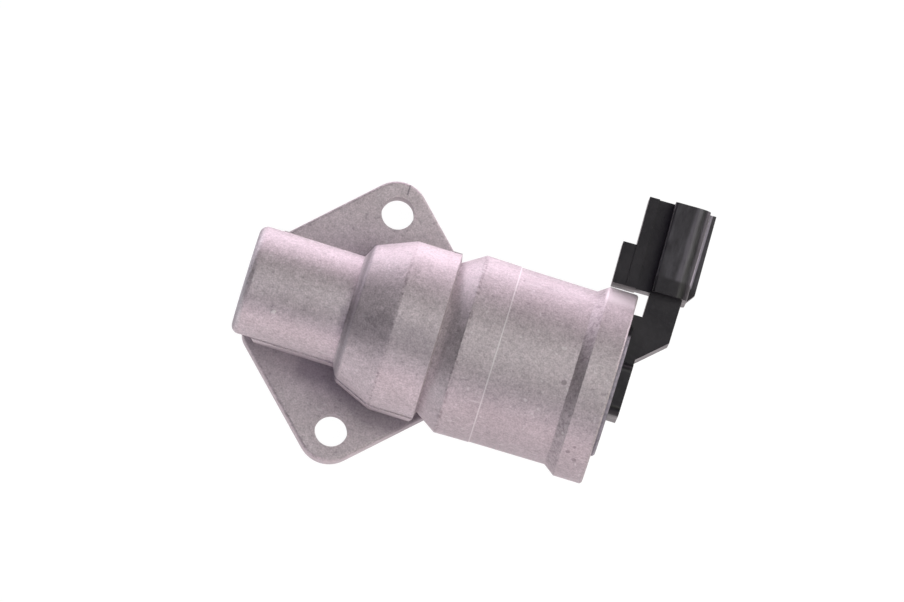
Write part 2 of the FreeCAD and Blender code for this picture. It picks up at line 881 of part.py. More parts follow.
def add_arm(body):
    """The arm that cranks outwards from the boss and rises to the plug socket."""
    inner = cap_face + size("arm_inner_reach")
    slope = size("arm_slope_start")
    top = socket_bottom + size("fit_gap")
    sketch = outline_sketch(body, "ArmPlan", "XY_Plane", [[
        (cap_face, 0), (boss_end, 0), (boss_end, slope),
        (arm_outer, slope + size("arm_slope_rise")), (arm_outer, top),
        (inner, top), (inner, size("arm_foot_top")), (cap_face, size("arm_foot_top")),
    ]])
    pad(body, "Arm", sketch, size("arm_half_depth") * 2, symmetric=True)


def leaning_point(across, height):
    """A place in the leaning plug socket, in the plane of the valve's axis."""
    return (socket_back + across * cosine(socket_lean) - height * sine(socket_lean),
            socket_bottom + across * sine(socket_lean) + height * cosine(socket_lean))


def leaning_sketch(body, name, outline, height):
    """A sketch across the leaning plug socket, measured from its back at this height over its foot."""
    sketch = new_sketch(body, name, "XZ_Plane")
    turned = FreeCAD.Rotation(FreeCAD.Vector(0, 1, 0), socket_lean.value)
    sketch.AttachmentOffset = FreeCAD.Placement(FreeCAD.Vector(), turned)
    sketch.setExpression("AttachmentOffset.Rotation.Angle", f"{socket_lean.formula} * 1deg")
    across, up = leaning_point(length(0), height)
    sketch.setExpression("AttachmentOffset.Base.x", across.formula)
    sketch.setExpression("AttachmentOffset.Base.z", (-up).formula)
    add_outline(sketch, outline)
    return sketch


def socket_spans():
    """The plug socket's faces counted back from its outer face: shell, web, plate and latch."""
    shell = -size("socket_shell_depth")
    web = shell - size("web_length")
    plate = web - size("plate_thickness")
    latch = plate - size("latch_length")
    return shell, web, plate, latch


def add_socket(body):
    """The shell, its web and side plate, the latch block and the key rail."""
    shell, web, plate, latch = socket_spans()
    tall = size("socket_height")

    def block(name, left, right, half, height):
        sketch = leaning_sketch(body, f"{name}Plan", rectangle(left, -half, right, half), height)
        pad(body, name, sketch, height)
    block("Shell", shell, 0, size("socket_half_width"), tall)
    dress(body, "Fillet", "ShellRound", size("socket_corner_radius"),
          socket_edge(length(0), size("socket_half_width")))
    dress(body, "Fillet", "ShellFrontRound", size("arm_round"),
          socket_edge(shell, size("socket_half_width")))
    block("Web", web, shell + size("socket_wall"), size("web_half_width"), tall)
    block("Plate", plate, web + size("fit_gap"), size("plate_half_width"), tall)
    block("Latch", latch, plate + size("fit_gap"), size("latch_half_width"), size("latch_height"))
    inside = -size("socket_wall")
    rail = size("rail_depth")
    low = size("rail_start")
    sketch = outline_sketch(body, "RailPlan", "XY_Plane", [[
        leaning_point(inside, low), leaning_point(length(0), low),
        leaning_point(rail, low + size("rail_slope_rise")), leaning_point(rail, tall),
        leaning_point(inside, tall),
    ]])
    pad(body, "Rail", sketch, size("rail_half_width") * 2, symmetric=True)


def cut_socket(body):
    """The well that takes the mating plug, open at the top, in the shell and in the web."""
    shell, web, plate, latch = socket_spans()
    wall = size("socket_wall")
    depth = size("socket_height") - size("socket_floor")
    deep = size("socket_half_width") - wall
    slot = size("web_half_width") - wall
    wide = rectangle(shell + wall, -deep, -wall, deep)
    narrow = rectangle(web + wall / 2, -slot, shell + wall, slot)
    for name, outline in (("Wide", wide), ("Narrow", narrow)):
        sketch = leaning_sketch(body, f"{name}WellPlan", outline, size("socket_height"))
        pocket(body, f"{name}Well", sketch, depth, along_normal=True)


def cut_blade_channels(body):
    """The channels that the moulding leaves round both blades."""
    front = blade_back - size("blade_thickness")
    half = size("blade_width") / 2
    floor = socket_bottom + size("socket_floor")
    uprights = []
    for side in (-1, 1):
        centre = size("blade_spacing") * (side / 2)
        uprights.append(rectangle(front, centre - half, blade_back, centre + half))
    sketch = outline_sketch(body, "UprightPlan", "XZ_Plane", uprights, -floor)
    pocket(body, "Uprights", sketch, floor - size("blade_turn"), along_normal=True)
    levels = [rectangle(*span) for span in blade_rectangles()]
    sketch = outline_sketch(body, "LevelPlan", "YZ_Plane", levels, cap_start)
    pocket(body, "Levels", sketch, blade_back - cap_start, along_normal=True)


def make_blade(label, side):
    """A bent strip from the bobbin's rear flange, through the cap, up into the socket."""
    front = blade_back - size("blade_thickness")
    low = size("blade_turn")
    high = low + size("blade_thickness")
    tip = socket_bottom + size("socket_floor") + size("blade_height")
    bevel = size("blade_thickness") / 4
    body = new_body(label, axis_height)
    sketch = new_sketch(body, "Strip", "XY_Plane", size("blade_spacing") * (side / 2))
    add_outline(sketch, [
        (coil_end, low), (blade_back, low), (blade_back, tip - bevel), (blade_back - bevel, tip),
        (front + bevel, tip), (front, tip - bevel), (front, high), (coil_end, high),
    ])
    pad(body, "Blade", sketch, size("blade_width"), symmetric=True)


def make_seal():
    """The rubber ring in the cap's groove, nipped between cap and can."""
    body = new_body("cap_seal", axis_height)
    wire = size("seal_wire_radius")
    centre = cap_start + size("cap_groove_start") + size("cap_groove_width") / 2
    reach = size("coil_bore_radius") - wire
    turn(body, "Ring", wire_outline(centre, reach, wire))


def check_and_write():
    """Every object is sound and every body one valid solid before any file is written."""
    doc.recompute()
    for item in doc.Objects:
        if "Invalid" in item.State or "Error" in item.State:
            raise RuntimeError(f"{item.Name} failed: {item.State}")
    kept = [item for item in doc.Objects
            if item.TypeId == "PartDesign::Body" and item.Label != "flange_plate"]
    for item in kept:
        if item.Shape.isNull() or not item.Shape.isValid() or len(item.Shape.Solids) != 1:
            raise RuntimeError(f"{item.Label} is not one valid solid")
    os.makedirs("parts", exist_ok=True)
    for item in kept:
        item.Shape.exportStep(f"parts/{item.Label}.step")
        print(f"{item.Label}: {item.Shape.Volume:.1f} mm3, {len(item.Shape.Faces)} faces")


make_housing()
make_seat()
make_poppet()
make_shaft()
make_clip("front_clip", balance_seat_start - size("clip_thickness"))
make_clip("poppet_clip", poppet_hub_end)
make_balance_seat()
make_plug()
make_spring("balance_spring", plug_end, balance_seat_start,
            size("balance_spring_radius"), size("balance_spring_turns"))
make_spring("return_spring", return_pocket_start, return_pocket_end,
            size("return_spring_radius"), size("return_spring_turns"))
make_front_plate()
make_guide_tube()
make_armature()
make_core()
make_coil()
make_yoke()
make_rear_plate()
make_wave_washer()
make_end_cap()
make_blade("terminal_lower", -1)
make_blade("terminal_upper", 1)
make_seal()
check_and_write()
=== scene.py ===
import json
import math

import bpy
from bpy.props import FloatProperty, FloatVectorProperty, PointerProperty
from bpy.types import Operator, Panel, PropertyGroup
from mathutils import Matrix, Vector

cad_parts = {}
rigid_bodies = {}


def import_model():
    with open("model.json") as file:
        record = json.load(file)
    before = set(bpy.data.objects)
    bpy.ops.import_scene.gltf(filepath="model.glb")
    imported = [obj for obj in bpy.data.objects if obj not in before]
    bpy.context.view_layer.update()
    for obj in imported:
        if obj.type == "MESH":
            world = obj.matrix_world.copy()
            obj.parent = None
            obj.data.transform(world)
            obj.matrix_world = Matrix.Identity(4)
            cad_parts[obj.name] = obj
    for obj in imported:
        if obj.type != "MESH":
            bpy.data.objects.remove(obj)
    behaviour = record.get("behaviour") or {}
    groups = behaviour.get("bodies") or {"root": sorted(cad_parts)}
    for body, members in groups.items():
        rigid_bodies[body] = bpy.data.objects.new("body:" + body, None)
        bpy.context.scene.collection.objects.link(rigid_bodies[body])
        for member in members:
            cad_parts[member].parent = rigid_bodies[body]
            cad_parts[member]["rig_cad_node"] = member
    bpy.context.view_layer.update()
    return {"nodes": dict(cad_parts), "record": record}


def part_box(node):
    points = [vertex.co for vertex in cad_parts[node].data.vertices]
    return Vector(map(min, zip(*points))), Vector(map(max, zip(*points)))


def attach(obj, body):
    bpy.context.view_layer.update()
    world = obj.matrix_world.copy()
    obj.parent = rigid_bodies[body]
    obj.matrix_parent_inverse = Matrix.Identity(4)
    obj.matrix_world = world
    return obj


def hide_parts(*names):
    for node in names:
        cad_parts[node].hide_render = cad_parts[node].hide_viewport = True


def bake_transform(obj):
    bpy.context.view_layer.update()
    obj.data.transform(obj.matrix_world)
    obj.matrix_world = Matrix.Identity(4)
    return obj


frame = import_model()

bl_info = {
    "name": "Idle Air Control Valve",
    "version": (1, 0, 0),
    "blender": (4, 5, 0),
    "location": "3D View > Sidebar > Valve",
    "description": "Dresses the valve's pieces in their finishes and sets the studio round them",
    "category": "Object",
}

MM = 0.001
FIXED_BODY = "valve_body"
AXIS_HEIGHT = 20.6 * MM

# How a copy of a CAD node is merged, and how its edges are found, rounded and shaded
MERGE_DISTANCE = 0.002 * MM
SAME_PLACE = 0.01 * MM
SAME_RADIUS = 0.03 * MM
RING_SEGMENTS = 4
SOFTEN_SEGMENTS = 2
SOFTEN_ANGLE = math.radians(40)
SMOOTH_ANGLE = math.radians(30)
COIL_SMOOTH_ANGLE = math.radians(50)

# From here to the studio, lengths are in millimetres, and places are on the frame's X, Y and Z.

# The turned edges of the casting that are rounded: place along the axis, radius and rounding
RINGS = ((5.7, 17.3, 0.5), (19.95, 18.65, 0.6), (45.5, 19.9, 0.6))
# The nose: its end face, its radius, the round on the frame's corner and the tighter one seen
NOSE = (-25.4, 11.25, 3.2, 1.7)
# Two corners of the block that fills the slit at the arm's foot, with X from the rim's end
FOOT_BLOCK = ((0.03, 11.0, 16.02), (0.95, 15.53, 25.18))

# Marks that run round the casting: place along the axis, half the width and the soft side. The
# mark at the rim's side is painted light and the one at the step is painted shade.
CREST = (20.1, 0.15, 0.5)
SHOULDER = (5.75, 0.1, 0.35)
RIM_FOOT = (44.4, 0.9, 0.5)
TURNED_LINE = (27.28, 0.09, 0.08)
RIM_SIDE = (48.5, 3.2, 0.4)
STEP_SHADE = (-2.6, 0.3, 0.6)
# The seam on the upper ear and the band of painted shade along the chamber's top, each along X and
# then Y
SEAM = ((0.75, 0.10, 0.12), (28.6, 1.1, 0.4))
PAINTED_SHADE_BAND = ((5, 9.5, 1), (-3.4, 1.4, 3))
# Where a mark starts or ends, as the two places on X, Y or Z that it fades between. The nose's end
# and the band's foot bound painted shade, and the rim's far side painted light.
DARKER_CAN_X = (10, 26)
NOSE_END_SHADE_X = (-25.1, -24.5)
RIM_FAR_SIDE_Y = (14.6, 17.0)
MILLED_FOOT_Z = (0.02, 0.06)
FLANGE_EDGE_Z = (8.2, 9.0)
PAINTED_SHADE_BAND_FOOT_Z = (21, 26)
# Pits beside the rim, each with its place and radius, and the small round mark on the nose
PITS = (((42.0, -3.2, 38.6), 0.45), ((44.4, 4.9, 38.55), 0.3), ((46.85, -15.7, 32.8), 0.35),
        ((48.5, -16.8, 31.3), 0.4), ((47.9, -14.6, 34.1), 0.2))
PIT_EDGE = 0.25
DIMPLE = ((-17.97, -5.95, 30.09), 0.35, 0.3)
# Two sets of scratches: bearing in degrees and the shift that sets one apart from the other
SCRATCHES = ((38, 0.0), (-28, 0.37))

# The foot of the chamber's wall, as X and Y at two places, and the painted shadow in its lee: how
# far it reaches from the wall, and between which places it ends or thins
WALL_START, WALL_END = (-4, -12), (5.7, -17.3)
PAINTED_SHADOW_REACH = (1.2, 5.0)
PAINTED_SHADOW_TOP_Z = (7.3, 8.5)
PAINTED_SHADOW_SIDE_Y = (-11, -10)
PAINTED_SHADOW_THIN_X = (-11.5, -9.5)

# The cap: where the plug's shell starts on X and Y, and the painted highlights of the streak and
# the edge that run round it
SHELL_START = ((53.2, 53.8), (23.8, 24.6))
SHELL_STREAK = (58.2, 0.35, 0.6)
SHELL_EDGE = (60.9, 0.16, 0.22)
# The painted highlight on the edge of its disc: place along the axis, inner and outer radius, and
# its end at the arm
DISC_EDGE = (51.8, 0.6, 0.05)
DISC_EDGE_INNER = (13.45, 13.6)
DISC_EDGE_OUTER = (13.95, 14.1)
DISC_EDGE_END_Y = (10, 11)

# Colour and roughness of the turned and drawn metals, and the colours of the rubbers
METALS = {
    "copper_winding": ((0.62, 0.24, 0.10), 0.32),
    "magnet_iron": ((0.52, 0.53, 0.56), 0.36),
    "stainless": ((0.62, 0.62, 0.63), 0.26),
    "spring_steel": ((0.42, 0.43, 0.45), 0.3),
    "bronze_bush": ((0.55, 0.36, 0.15), 0.42),
    "brass_seat": ((0.75, 0.55, 0.24), 0.3),
    "tinned_blade": ((0.70, 0.69, 0.66), 0.28),
}
RUBBERS = {
    "seal_rubber": (0.012, 0.012, 0.012),
    "facing_rubber": (0.04, 0.025, 0.02),
}
NYLON = (0.52, 0.45, 0.32)

# The studio, in metres. Lamps over the valve: how far each leans from straight above towards -Y
# and towards +X in degrees, its width and height, and its power in watts for red, green and blue
LAMPS = (
    ("far_low_lamp", -80, 0, 0.8, 0.2, (1.25, 1.01, 1.16)),
    ("overhead_lamp", -20, 25, 0.3, 0.4, (1.13, 1.10, 1.09)),
    ("middle_lamp", -2, 0, 0.4, 0.2, (0.15, 0.13, 0.18)),
    ("near_side_lamp", 10, 25, 0.3, 0.4, (0.34, 0.33, 0.27)),
    ("near_high_lamp", 14, 0, 0.4, 0.2, (0.19, 0.18, 0.22)),
    ("near_lamp", 60, 0, 0.8, 0.3, (0.50, 0.50, 0.60)),
    ("near_low_lamp", 80, 0, 0.8, 0.2, (1.23, 0.98, 1.02)),
    ("side_lamp", 0, 45, 0.3, 0.6, (0.95, 1.03, 0.78)),
)
LAMP_TARGET = Vector((0.018, 0.005, 0.02))
LAMP_DISTANCE = 0.6
# Panels lying beside the valve and facing up: place, width, height and power
PANELS = (
    ("far_panel", (0.02, 0.09, 0.0005), 0.6, 0.08, (0.554, 0.468, 0.538)),
    ("nose_panel", (-0.20, 0.0, 0.0005), 0.28, 0.5, (0.50, 0.60, 0.59)),
)
FLOOR_SIZE = 8.0
FLOOR_HEIGHT = -0.0003
FLOOR_GLOW = 1.035
FLOOR_GLOW_SHARE = 0.96
SOFT_LIGHT = (1.0, 0.97, 1.0, 1)
SOFT_LIGHT_STRENGTH = 0.03
# The point at the middle of the picture: along X and up the picture
VIEW_CENTRE = (15.73 * MM, 9.95 * MM)
SENSOR_WIDTH = 36.0
CLIP_START = 0.05


class CastingSettings(PropertyGroup):
    """Sizes and colours of the die-cast housing."""

    colour: FloatVectorProperty(
        name="Colour", description="Blasted aluminium", subtype="COLOR",
        size=3, min=0, max=1, default=(0.54, 0.49, 0.515))
    stain_colour: FloatVectorProperty(
        name="Stain colour", description="Duller patches of the casting's skin", subtype="COLOR",
        size=3, min=0, max=1, default=(0.505, 0.455, 0.478))
    fleck_colour: FloatVectorProperty(
        name="Fleck colour", description="Dark pits and specks", subtype="COLOR",
        size=3, min=0, max=1, default=(0.20, 0.17, 0.185))
    milled_colour: FloatVectorProperty(
        name="Milled colour", description="Bright milled mounting face", subtype="COLOR",
        size=3, min=0, max=1, default=(0.66, 0.64, 0.65))
    # Painted light on the rim's side under the plug, where the plug shades it
    painted_light_colour: FloatVectorProperty(
        name="Polished colour", description="Rubbed side of the rim under the plug",
        subtype="COLOR", size=3, min=0, max=1, default=(0.72, 0.68, 0.70))
    # Painted shade: the shadow beside the chamber's wall, the step, the nose's end and the band
    # along the chamber take this colour, and so does the real seam; the strength below is that of
    # the painted shadow
    painted_shade_and_seam_colour: FloatVectorProperty(
        name="Grime colour", description="Dull skin beside the walls", subtype="COLOR",
        size=3, min=0, max=1, default=(0.13, 0.11, 0.14))
    painted_shadow: FloatProperty(
        name="Grime", description="Strength of the grime beside the walls", subtype="FACTOR",
        min=0, max=1, default=0.45)
    metallic: FloatProperty(
        name="Metallic", description="Share of metal reflection", subtype="FACTOR",
        min=0, max=1, default=0.55)
    roughness: FloatProperty(
        name="Roughness", description="Middle roughness of the blasted skin", subtype="FACTOR",
        min=0, max=1, default=0.54)
    grain_size: FloatProperty(
        name="Grain size", description="Width of the blasted grain", unit="LENGTH",
        default=0.35 * MM)


class MouldingSettings(PropertyGroup):
    """Sizes and colours of the black end cap."""

    colour: FloatVectorProperty(
        name="Colour", description="Black moulded nylon", subtype="COLOR",
        size=3, min=0, max=1, default=(0.011, 0.0105, 0.0125))
    dust_colour: FloatVectorProperty(
        name="Dust colour", description="Dust in the moulding's skin", subtype="COLOR",
        size=3, min=0, max=1, default=(0.024, 0.0225, 0.027))
    scuff_colour: FloatVectorProperty(
        name="Scuff colour", description="Scuffed skin of the plug's shell", subtype="COLOR",
        size=3, min=0, max=1, default=(0.055, 0.053, 0.062))
    # Colour of the painted highlights on the plug's shell and on the disc's edge
    painted_highlight_colour: FloatVectorProperty(
        name="Rubbed colour", description="Pale rubbed edges", subtype="COLOR",
        size=3, min=0, max=1, default=(0.36, 0.33, 0.40))
    gloss: FloatProperty(
        name="Gloss", description="Strength of the moulding's reflections", subtype="FACTOR",
        min=0, max=1, default=0.22)
    edge_round: FloatProperty(
        name="Edge round", description="Softening of the moulding's edges", unit="LENGTH",
        default=0.12 * MM)


class StudioSettings(PropertyGroup):
    """The camera, the floor and the lamps."""

    camera_distance: FloatProperty(
        name="Camera distance", description="From the camera to the mounting face",
        unit="LENGTH", default=2.5)
    camera_tilt: FloatProperty(
        name="Camera tilt", description="Lean from straight above", subtype="ANGLE",
        default=math.radians(6.1))
    camera_roll: FloatProperty(
        name="Camera roll", description="Turn of the picture about the view", subtype="ANGLE",
        default=math.radians(17.1))
    camera_lens: FloatProperty(
        name="Lens", description="Focal length in millimetres", unit="CAMERA", default=489.0)
    floor_colour: FloatVectorProperty(
        name="Floor colour", description="Pale ground", subtype="COLOR",
        size=3, min=0, max=1, default=(0.90, 0.88, 0.89))
    mirrored_colour: FloatVectorProperty(
        name="Mirrored colour", description="The ground as reflections show it",
        subtype="COLOR", size=3, min=0, max=1, default=(1.0, 0.91, 0.94))
    lamp_power: FloatProperty(
        name="Lamp power", description="Factor on the power of every lamp", default=1.0)


def deselect_all():
    if bpy.context.mode != "OBJECT":
        bpy.ops.object.mode_set(mode="OBJECT")
    bpy.ops.object.select_all(action="DESELECT")


def make_active(piece):
    deselect_all()
    piece.select_set(True)
    bpy.context.view_layer.objects.active = piece


# Materials


class Shader:
    """A node material with short calls for adding and joining its nodes."""

    def __init__(self, name):
        self.material = bpy.data.materials.new(name)
        self.material.use_nodes = True
        self.nodes = self.material.node_tree.nodes
        self.links = self.material.node_tree.links
        self.surface = self.nodes["Principled BSDF"]
        self.place = self.nodes.new("ShaderNodeTexCoord").outputs["Object"]

    def add(self, kind, **inputs):
        """A node of this kind; each input is a value or another node's output."""
        node = self.nodes.new(kind)
        for name, value in inputs.items():
            socket = node.inputs[name.replace("_", " ")]
            if isinstance(value, bpy.types.NodeSocket):
                self.links.new(value, socket)
            else:
                socket.default_value = value
        return node

    def join(self, output, socket):
        self.links.new(output, self.surface.inputs[socket])

    def stretched(self, cycles, bearing=0.0, shift=0.0):
        """The object's coordinates, turned in plan and scaled to these cycles a metre per axis."""
        return self.add("ShaderNodeMapping", Vector=self.place, Scale=cycles,
                        Rotation=(0, 0, math.radians(bearing)),
                        Location=(shift, shift, 0)).outputs[0]

    def noise(self, size, detail=3.0):
        """Grey noise whose blotches are about this many metres wide."""
        return self.streaks(self.place, detail, 1 / size)

    def streaks(self, coordinates, detail, scale=1.0):
        """Grey noise over these coordinates."""
        return self.add("ShaderNodeTexNoise", Vector=coordinates, Scale=scale, Detail=detail,
                        Roughness=0.55).outputs["Fac"]

    def ramp(self, value, *stops):
        """A soft step through stops, each a position and a grey."""
        node = self.add("ShaderNodeValToRGB", Fac=value)
        for element, (position, grey) in zip(node.color_ramp.elements, stops, strict=True):
            element.position = position
            element.color = (grey, grey, grey, 1)
        return node.outputs["Color"]

    def mix(self, factor, first, second, blend="MIX"):
        node = self.nodes.new("ShaderNodeMix")
        node.data_type = "RGBA"
        node.blend_type = blend
        for index, value in ((0, factor), (6, first), (7, second)):
            if isinstance(value, bpy.types.NodeSocket):
                self.links.new(value, node.inputs[index])
            elif index == 0:
                node.inputs[index].default_value = value
            else:
                node.inputs[index].default_value = (*value[:3], 1)
        return node.outputs[2]

    def math(self, operation, first, second=0.0):
        node = self.nodes.new("ShaderNodeMath")
        node.operation = operation
        for index, value in enumerate((first, second)):
            if isinstance(value, bpy.types.NodeSocket):
                self.links.new(value, node.inputs[index])
            else:
                node.inputs[index].default_value = value
        return node.outputs[0]

    def times(self, result, *factors):
        """The product of these outputs and values."""
        for factor in factors:
            result = self.math("MULTIPLY", result, factor)
        return result

    def most(self, result, *others):
        """The greatest of these outputs."""
        for other in others:
            result = self.math("MAXIMUM", result, other)
        return result

    def axis(self, name):
        """One of the object's coordinates, in metres."""
        return self.add("ShaderNodeSeparateXYZ", Vector=self.place).outputs[name]

    def radius(self):
        """The distance from the valve's axis, in metres."""
        height = self.math("SUBTRACT", self.axis("Z"), AXIS_HEIGHT)
        return self.math("SQRT", self.math("ADD", self.math("POWER", height, 2.0),
                                           self.math("POWER", self.axis("Y"), 2.0)))

    def fade(self, value, near, far):
        """One below the near place, zero beyond the far one, soft between."""
        node = self.add("ShaderNodeMapRange", Value=value, From_Min=near * MM, From_Max=far * MM,
                        To_Min=1.0, To_Max=0.0)
        node.interpolation_type = "SMOOTHSTEP"
        return node.outputs[0]

    def rise(self, value, near, far):
        """Zero below the near place, one beyond the far one, soft between."""
        return self.math("SUBTRACT", 1.0, self.fade(value, near, far))

    def band(self, name, centre, half, soft):
        """One within half a width of a place on an axis, with soft sides."""
        away = self.math("ABSOLUTE", self.math("SUBTRACT", self.axis(name), centre * MM))
        return self.fade(away, half, half + soft)

    def spot(self, place, radius, soft):
        """One within a radius of a place, with a soft rim."""
        node = self.add("ShaderNodeVectorMath")
        node.operation = "DISTANCE"
        self.links.new(self.place, node.inputs[0])
        node.inputs[1].default_value = [value * MM for value in place]
        return self.fade(node.outputs["Value"], radius, radius + soft)

    def bump(self, height, depth, below=None):
        """A bump of this depth in metres, laid over an earlier one where below is given."""
        node = self.add("ShaderNodeBump", Height=height, Distance=depth, Strength=1.0)
        if below is not None:
            self.links.new(below, node.inputs["Normal"])
        return node.outputs["Normal"]


def cast_aluminium(name):
    """Fine-blasted die casting, marked by its making and handling, with painted shade and painted
    light in places, and a milled foot.
    """
    settings = bpy.context.scene.valve_casting
    shader = Shader(name)
    grain = shader.noise(settings.grain_size, detail=1.0)
    middle = shader.noise(settings.grain_size * 2.6, detail=2.0)
    clouds = shader.noise(3.2 * MM)
    raised = shader.rise(shader.axis("Z"), *FLANGE_EDGE_Z)
    dimple = shader.spot(*DIMPLE)

    base = blasted_skin(shader, grain, middle, clouds)
    flecks = shader.times(dark_flecks(shader, clouds, raised), 0.6)
    base = shader.mix(flecks, base, settings.fleck_colour)
    # Real scratches, nicks and turned line, and painted light on the rim's far side
    base = bright_marks_and_painted_light(shader, base)
    base = shader.mix(shader.times(dimple, 0.8), base, settings.milled_colour)
    # Painted shadow in the lee of the chamber's wall, painted shade on the step, the nose's end
    # and the chamber's top, and the real seam
    base = shader.mix(painted_shade_and_seam(shader, raised), base, settings.painted_shade_and_seam_colour)

    foot = shader.fade(shader.axis("Z"), *MILLED_FOOT_Z)
    cuts = shader.ramp(shader.streaks(shader.stretched((500, 5200, 500)), detail=1.0),
                       (0.3, 0.0), (0.7, 1.0))
    milled = shader.mix(cuts, settings.milled_colour, settings.colour)
    shader.join(shader.mix(foot, base, milled), "Base Color")
    shader.surface.inputs["Metallic"].default_value = settings.metallic
    blasted = shader.ramp(middle, (0.3, settings.roughness - 0.05),
                          (0.7, settings.roughness + 0.07))
    shader.join(shader.mix(foot, blasted, (0.42, 0.42, 0.42)), "Roughness")

    skin = shader.bump(clouds, 0.05 * MM)
    skin = shader.bump(middle, 0.035 * MM, below=skin)
    skin = shader.bump(grain, 0.02 * MM, below=skin)
    shader.join(shader.bump(dimple, 0.12 * MM, below=skin), "Normal")
    return shader.material


def blasted_skin(shader, grain, middle, clouds):
    """The casting's own colour, with patches, clouds and grain, and darker along the can."""
    settings = bpy.context.scene.valve_casting
    patches = shader.ramp(shader.noise(9 * MM), (0.35, 0.0), (0.68, 1.0))
    base = shader.mix(patches, settings.colour, settings.stain_colour)
    for layer, light, dark in ((grain, 1.15, 0.85), (middle, 1.12, 0.88), (clouds, 1.04, 0.96)):
        tone = shader.ramp(layer, (0.32, dark), (0.68, light))
        base = shader.mix(1.0, base, tone, "MULTIPLY")
    tone = shader.ramp(shader.fade(shader.axis("X"), *DARKER_CAN_X), (0.0, 0.89), (1.0, 1.0))
    return shader.mix(1.0, base, tone, "MULTIPLY")


def dark_flecks(shader, clouds, raised):
    """Where the casting is dark: specks all over, flecks along its worn edges, and pits."""
    specks = shader.ramp(shader.noise(0.9 * MM, detail=1.0), (0.26, 0.55), (0.31, 0.0))
    flecks = shader.noise(0.8 * MM)
    worn = shader.ramp(clouds, (0.42, 1.0), (0.60, 0.35))
    crest = shader.times(shader.band("X", *CREST), worn,
                         shader.ramp(flecks, (0.42, 1.0), (0.56, 0.0)))
    shoulder = shader.times(shader.band("X", *SHOULDER), worn, raised,
                            shader.ramp(flecks, (0.42, 0.9), (0.54, 0.0)))
    rim_foot = shader.times(shader.band("X", *RIM_FOOT),
                            shader.ramp(flecks, (0.36, 0.9), (0.5, 0.12)))
    pits = [shader.spot(place, radius, PIT_EDGE) for place, radius in PITS]
    return shader.most(specks, crest, shoulder, rim_foot, *pits)


def bright_marks_and_painted_light(shader, base):
    """The base with its scratches, nicks and turned line, and painted light on the rim's far side
    under the plug.
    """
    settings = bpy.context.scene.valve_casting
    for bearing, shift in SCRATCHES:
        lines = shader.streaks(shader.stretched((260, 4200, 900), bearing, shift), detail=0.0)
        base = shader.mix(shader.ramp(lines, (0.80, 0.0), (0.84, 0.5)), base,
                          settings.milled_colour)
    nicks = shader.ramp(shader.noise(1.3 * MM, detail=1.0), (0.71, 0.0), (0.75, 0.55))
    base = shader.mix(nicks, base, settings.milled_colour)
    line = shader.times(shader.band("X", *TURNED_LINE), 0.85)
    base = shader.mix(line, base, settings.milled_colour)
    # Painted light on the rim's far side, which the plug shades
    painted_light = shader.times(shader.band("X", *RIM_SIDE),
                            shader.rise(shader.axis("Y"), *RIM_FAR_SIDE_Y), 0.9)
    return shader.mix(painted_light, base, settings.painted_light_colour)


def painted_shade_and_seam(shader, raised):
    """Where the casting is painted darker: painted shadow in the lee of the chamber's wall,
    painted shade on the step, the nose's end and the band along the chamber, and the real seam.
    """
    strength = bpy.context.scene.valve_casting.painted_shadow
    # Painted shadow on the flange in the lee of the chamber's wall, thinner towards the nose
    wall = shader.add("ShaderNodeMapRange", Value=shader.axis("X"),
                      From_Min=WALL_START[0] * MM, From_Max=WALL_END[0] * MM,
                      To_Min=WALL_START[1] * MM, To_Max=WALL_END[1] * MM).outputs[0]
    painted_shadow = shader.times(
        shader.fade(shader.math("SUBTRACT", wall, shader.axis("Y")), *PAINTED_SHADOW_REACH),
        shader.fade(shader.axis("Z"), *PAINTED_SHADOW_TOP_Z),
        shader.fade(shader.axis("Y"), *PAINTED_SHADOW_SIDE_Y),
        shader.ramp(shader.fade(shader.axis("X"), *PAINTED_SHADOW_THIN_X),
                    (0.0, strength), (1.0, strength * 0.4)))
    seam = shader.times(shader.band("X", *SEAM[0]), shader.band("Y", *SEAM[1]), 0.6)
    # Painted shade on the step where the nose meets the chamber
    step_shade = shader.times(shader.band("X", *STEP_SHADE), raised, 0.45)
    # Painted shade on the round at the nose's end
    nose_end_shade = shader.times(shader.fade(shader.axis("X"), *NOSE_END_SHADE_X), 0.5)
    # Painted shade in a band along the chamber's top
    band = shader.times(shader.band("X", *PAINTED_SHADE_BAND[0]), shader.band("Y", *PAINTED_SHADE_BAND[1]),
                        shader.rise(shader.axis("Z"), *PAINTED_SHADE_BAND_FOOT_Z), 0.24)
    return shader.most(painted_shadow, step_shade, nose_end_shade, band, seam)


